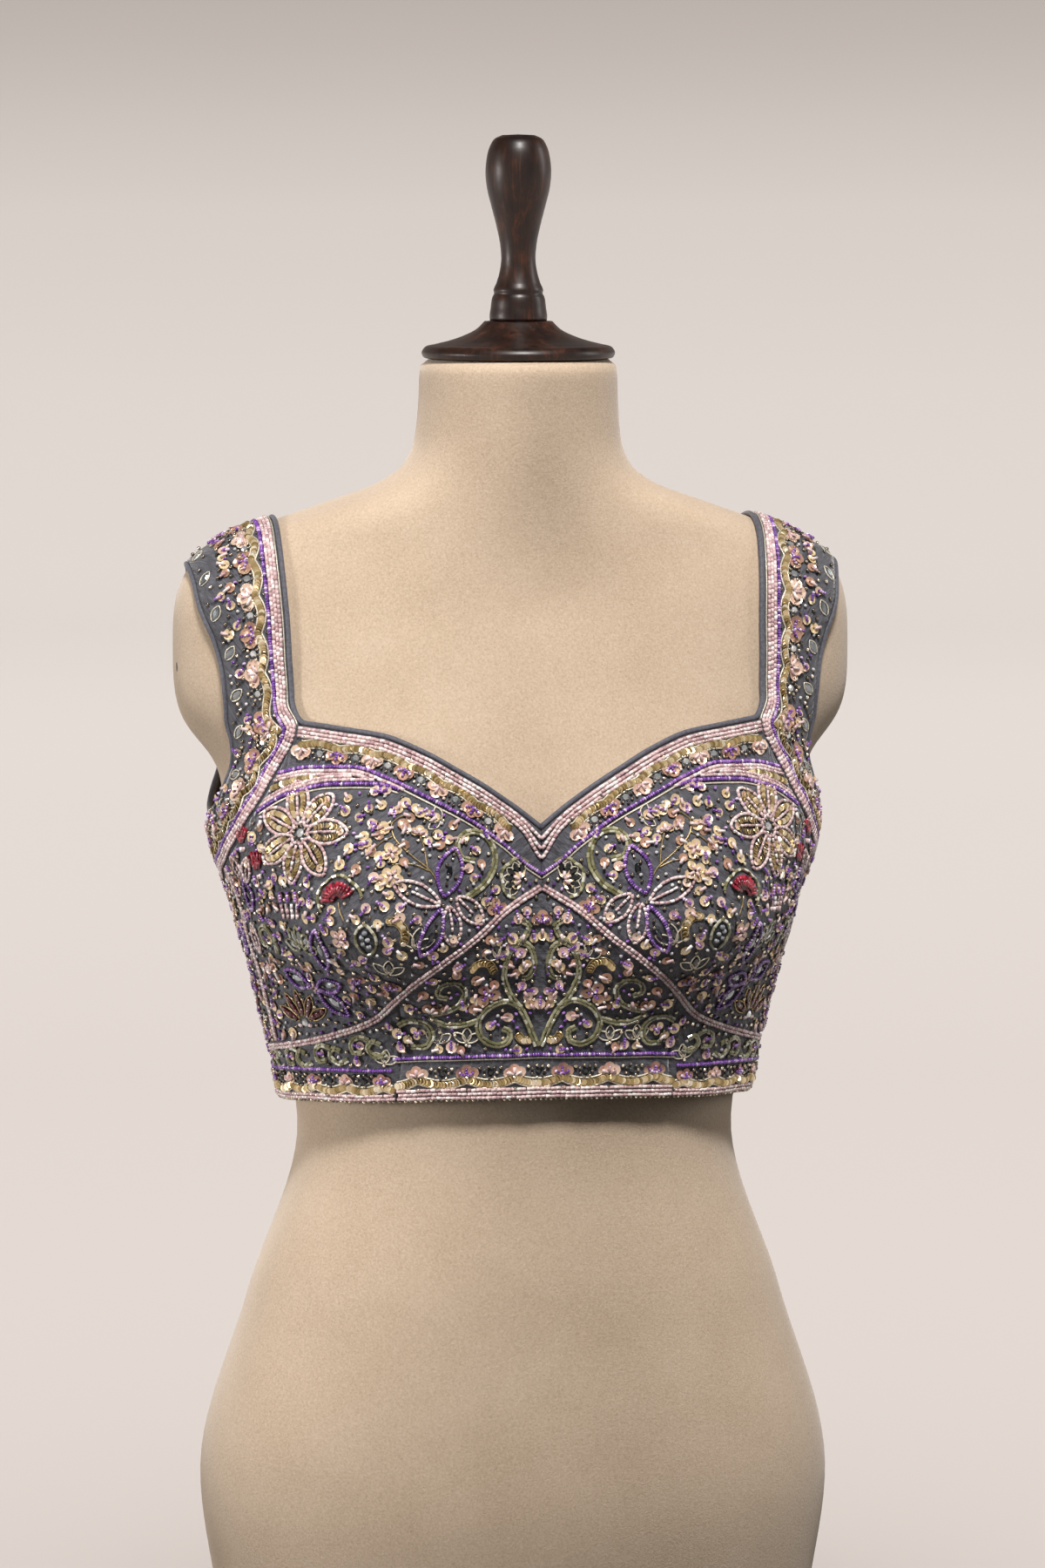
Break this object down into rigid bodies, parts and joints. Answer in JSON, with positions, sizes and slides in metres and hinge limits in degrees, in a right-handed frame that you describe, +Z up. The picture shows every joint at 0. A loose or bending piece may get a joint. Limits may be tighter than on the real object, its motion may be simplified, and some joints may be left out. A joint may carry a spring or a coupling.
{
  "type": "crop top on a limbless dress form",
  "caption": "Sweetheart crop top with wide shoulder straps, beaded all over, worn on a limbless fabric-covered dress form with a turned wooden neck cap and finial.",
  "frame": {"origin": "centre of the base board's underside, on the surface that the dress form stands on", "axes": "+Z up through the form, -Y the way the chest faces, +X to the wearer's left"},
  "size_m": [0.362, 0.2447, 0.8058],
  "materials": {
    "raw_silk": "slate grey raw silk, slubbed, low sheen",
    "piping": "grey lavender satin cord",
    "form_cover": "beige brushed suede cloth, matt",
    "turned_wood": "dark stained and lacquered, semi-gloss",
    "glass_beads": "glass seed and bugle beads, glossy",
    "sequins": "cupped foil sequins, pearly gloss",
    "metal_thread": "coiled pale gold metal thread",
    "stones": "faceted foiled stones, glossy"
  },
  "bodies": {
    "root": {"cup_right": "raw_silk", "midriff_side_right": "raw_silk", "strap_right": "raw_silk", "back_right": "raw_silk", "cup_left": "raw_silk", "midriff_side_left": "raw_silk", "strap_left": "raw_silk", "back_left": "raw_silk", "midriff_centre": "raw_silk", "piping_neck_right": "piping", "piping_armhole_right": "piping", "piping_neck_left": "piping", "piping_armhole_left": "piping", "form_torso": "form_cover", "neck_cap": "turned_wood", "finial": "turned_wood", "base_board": "turned_wood"}
  },
  "joints": []
}
